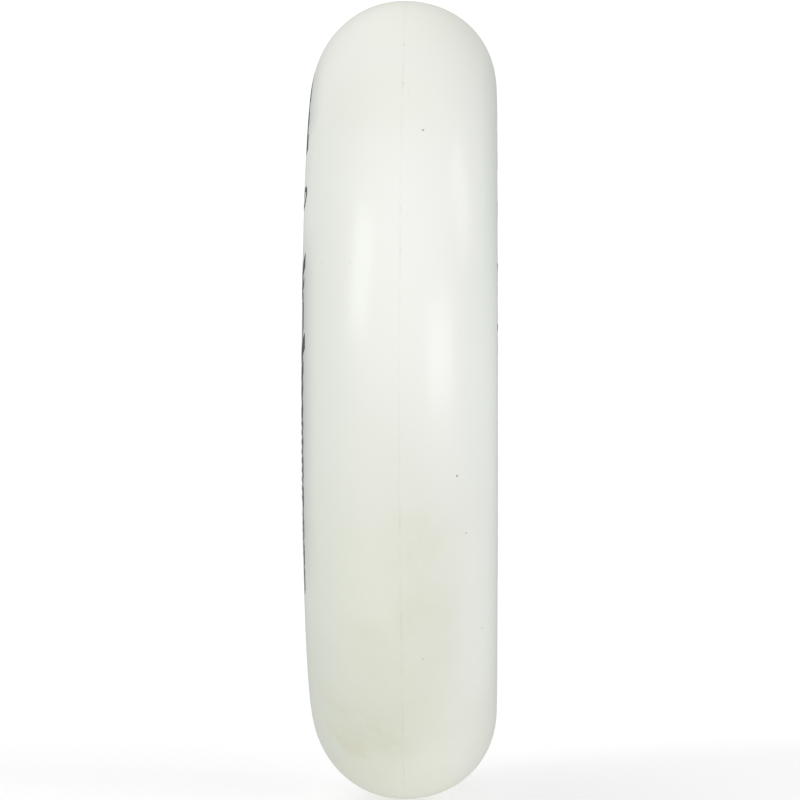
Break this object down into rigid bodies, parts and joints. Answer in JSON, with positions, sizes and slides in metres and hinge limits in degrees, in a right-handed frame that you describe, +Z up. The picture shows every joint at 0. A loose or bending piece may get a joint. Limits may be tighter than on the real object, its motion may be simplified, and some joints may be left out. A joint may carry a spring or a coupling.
{
  "type": "scooter wheel",
  "caption": "White polyurethane scooter wheel with a full-round tread on a spoked nylon hub, running on sealed ball bearings with a spacer tube between them.",
  "frame": {"origin": "centre of the wheel: on the axle line, midway between the two sides", "axes": "+Y along the axle, away from the printed side of the tyre; +Z up; +X forwards"},
  "size_m": [0.1, 0.023, 0.1],
  "materials": {
    "tyre_polyurethane": "satin",
    "hub_nylon": "satin",
    "spacer_steel": "satin",
    "ring_steel": "polished",
    "ball_steel": "polished",
    "cage_nylon": "matte",
    "seal_rubber": "matte"
  },
  "bodies": {
    "axle_side": {"bearing_spacer": "spacer_steel", "left_inner_ring": "ring_steel", "right_inner_ring": "ring_steel"},
    "wheel": {"tyre": "tyre_polyurethane", "hub": "hub_nylon", "left_outer_ring": "ring_steel", "left_outer_seal": "seal_rubber", "left_inner_seal": "seal_rubber", "right_outer_ring": "ring_steel", "right_outer_seal": "seal_rubber", "right_inner_seal": "seal_rubber"},
    "left_cage": {"left_cage": "cage_nylon"},
    "left_ball_1": {"left_ball_1": "ball_steel"},
    "left_ball_2": {"left_ball_2": "ball_steel"},
    "left_ball_3": {"left_ball_3": "ball_steel"},
    "left_ball_4": {"left_ball_4": "ball_steel"},
    "left_ball_5": {"left_ball_5": "ball_steel"},
    "left_ball_6": {"left_ball_6": "ball_steel"},
    "left_ball_7": {"left_ball_7": "ball_steel"},
    "right_cage": {"right_cage": "cage_nylon"},
    "right_ball_1": {"right_ball_1": "ball_steel"},
    "right_ball_2": {"right_ball_2": "ball_steel"},
    "right_ball_3": {"right_ball_3": "ball_steel"},
    "right_ball_4": {"right_ball_4": "ball_steel"},
    "right_ball_5": {"right_ball_5": "ball_steel"},
    "right_ball_6": {"right_ball_6": "ball_steel"},
    "right_ball_7": {"right_ball_7": "ball_steel"}
  },
  "joints": [
    {"name": "wheel_spin", "type": "hinge", "parent": "axle_side", "child": "wheel", "pos_m": [0, 0, 0], "axis": [0, 1, 0], "continuous": true},
    {"name": "left_cage_turn", "type": "hinge", "parent": "axle_side", "child": "left_cage", "pos_m": [0, -0.008, 0], "axis": [0, 1, 0], "continuous": true},
    {"name": "left_ball_1_turn", "type": "hinge", "parent": "left_cage", "child": "left_ball_1", "pos_m": [0.0075, -0.008, 0], "axis": [0, 1, 0], "continuous": true},
    {"name": "left_ball_2_turn", "type": "hinge", "parent": "left_cage", "child": "left_ball_2", "pos_m": [0.00468, -0.008, -0.00586], "axis": [0, 1, 0], "continuous": true},
    {"name": "left_ball_3_turn", "type": "hinge", "parent": "left_cage", "child": "left_ball_3", "pos_m": [-0.00167, -0.008, -0.00731], "axis": [0, 1, 0], "continuous": true},
    {"name": "left_ball_4_turn", "type": "hinge", "parent": "left_cage", "child": "left_ball_4", "pos_m": [-0.00676, -0.008, -0.00325], "axis": [0, 1, 0], "continuous": true},
    {"name": "left_ball_5_turn", "type": "hinge", "parent": "left_cage", "child": "left_ball_5", "pos_m": [-0.00676, -0.008, 0.00325], "axis": [0, 1, 0], "continuous": true},
    {"name": "left_ball_6_turn", "type": "hinge", "parent": "left_cage", "child": "left_ball_6", "pos_m": [-0.00167, -0.008, 0.00731], "axis": [0, 1, 0], "continuous": true},
    {"name": "left_ball_7_turn", "type": "hinge", "parent": "left_cage", "child": "left_ball_7", "pos_m": [0.00468, -0.008, 0.00586], "axis": [0, 1, 0], "continuous": true},
    {"name": "right_cage_turn", "type": "hinge", "parent": "axle_side", "child": "right_cage", "pos_m": [0, 0.008, 0], "axis": [0, 1, 0], "continuous": true},
    {"name": "right_ball_1_turn", "type": "hinge", "parent": "right_cage", "child": "right_ball_1", "pos_m": [0.0075, 0.008, 0], "axis": [0, 1, 0], "continuous": true},
    {"name": "right_ball_2_turn", "type": "hinge", "parent": "right_cage", "child": "right_ball_2", "pos_m": [0.00468, 0.008, -0.00586], "axis": [0, 1, 0], "continuous": true},
    {"name": "right_ball_3_turn", "type": "hinge", "parent": "right_cage", "child": "right_ball_3", "pos_m": [-0.00167, 0.008, -0.00731], "axis": [0, 1, 0], "continuous": true},
    {"name": "right_ball_4_turn", "type": "hinge", "parent": "right_cage", "child": "right_ball_4", "pos_m": [-0.00676, 0.008, -0.00325], "axis": [0, 1, 0], "continuous": true},
    {"name": "right_ball_5_turn", "type": "hinge", "parent": "right_cage", "child": "right_ball_5", "pos_m": [-0.00676, 0.008, 0.00325], "axis": [0, 1, 0], "continuous": true},
    {"name": "right_ball_6_turn", "type": "hinge", "parent": "right_cage", "child": "right_ball_6", "pos_m": [-0.00167, 0.008, 0.00731], "axis": [0, 1, 0], "continuous": true},
    {"name": "right_ball_7_turn", "type": "hinge", "parent": "right_cage", "child": "right_ball_7", "pos_m": [0.00468, 0.008, 0.00586], "axis": [0, 1, 0], "continuous": true}
  ],
  "couplings": [
    {"joint": "left_cage_turn", "follows": "wheel_spin", "ratio": 0.63227},
    {"joint": "left_ball_1_turn", "follows": "wheel_spin", "ratio": 1.7578},
    {"joint": "left_ball_2_turn", "follows": "wheel_spin", "ratio": 1.7578},
    {"joint": "left_ball_3_turn", "follows": "wheel_spin", "ratio": 1.7578},
    {"joint": "left_ball_4_turn", "follows": "wheel_spin", "ratio": 1.7578},
    {"joint": "left_ball_5_turn", "follows": "wheel_spin", "ratio": 1.7578},
    {"joint": "left_ball_6_turn", "follows": "wheel_spin", "ratio": 1.7578},
    {"joint": "left_ball_7_turn", "follows": "wheel_spin", "ratio": 1.7578},
    {"joint": "right_cage_turn", "follows": "wheel_spin", "ratio": 0.63227},
    {"joint": "right_ball_1_turn", "follows": "wheel_spin", "ratio": 1.7578},
    {"joint": "right_ball_2_turn", "follows": "wheel_spin", "ratio": 1.7578},
    {"joint": "right_ball_3_turn", "follows": "wheel_spin", "ratio": 1.7578},
    {"joint": "right_ball_4_turn", "follows": "wheel_spin", "ratio": 1.7578},
    {"joint": "right_ball_5_turn", "follows": "wheel_spin", "ratio": 1.7578},
    {"joint": "right_ball_6_turn", "follows": "wheel_spin", "ratio": 1.7578},
    {"joint": "right_ball_7_turn", "follows": "wheel_spin", "ratio": 1.7578}
  ]
}
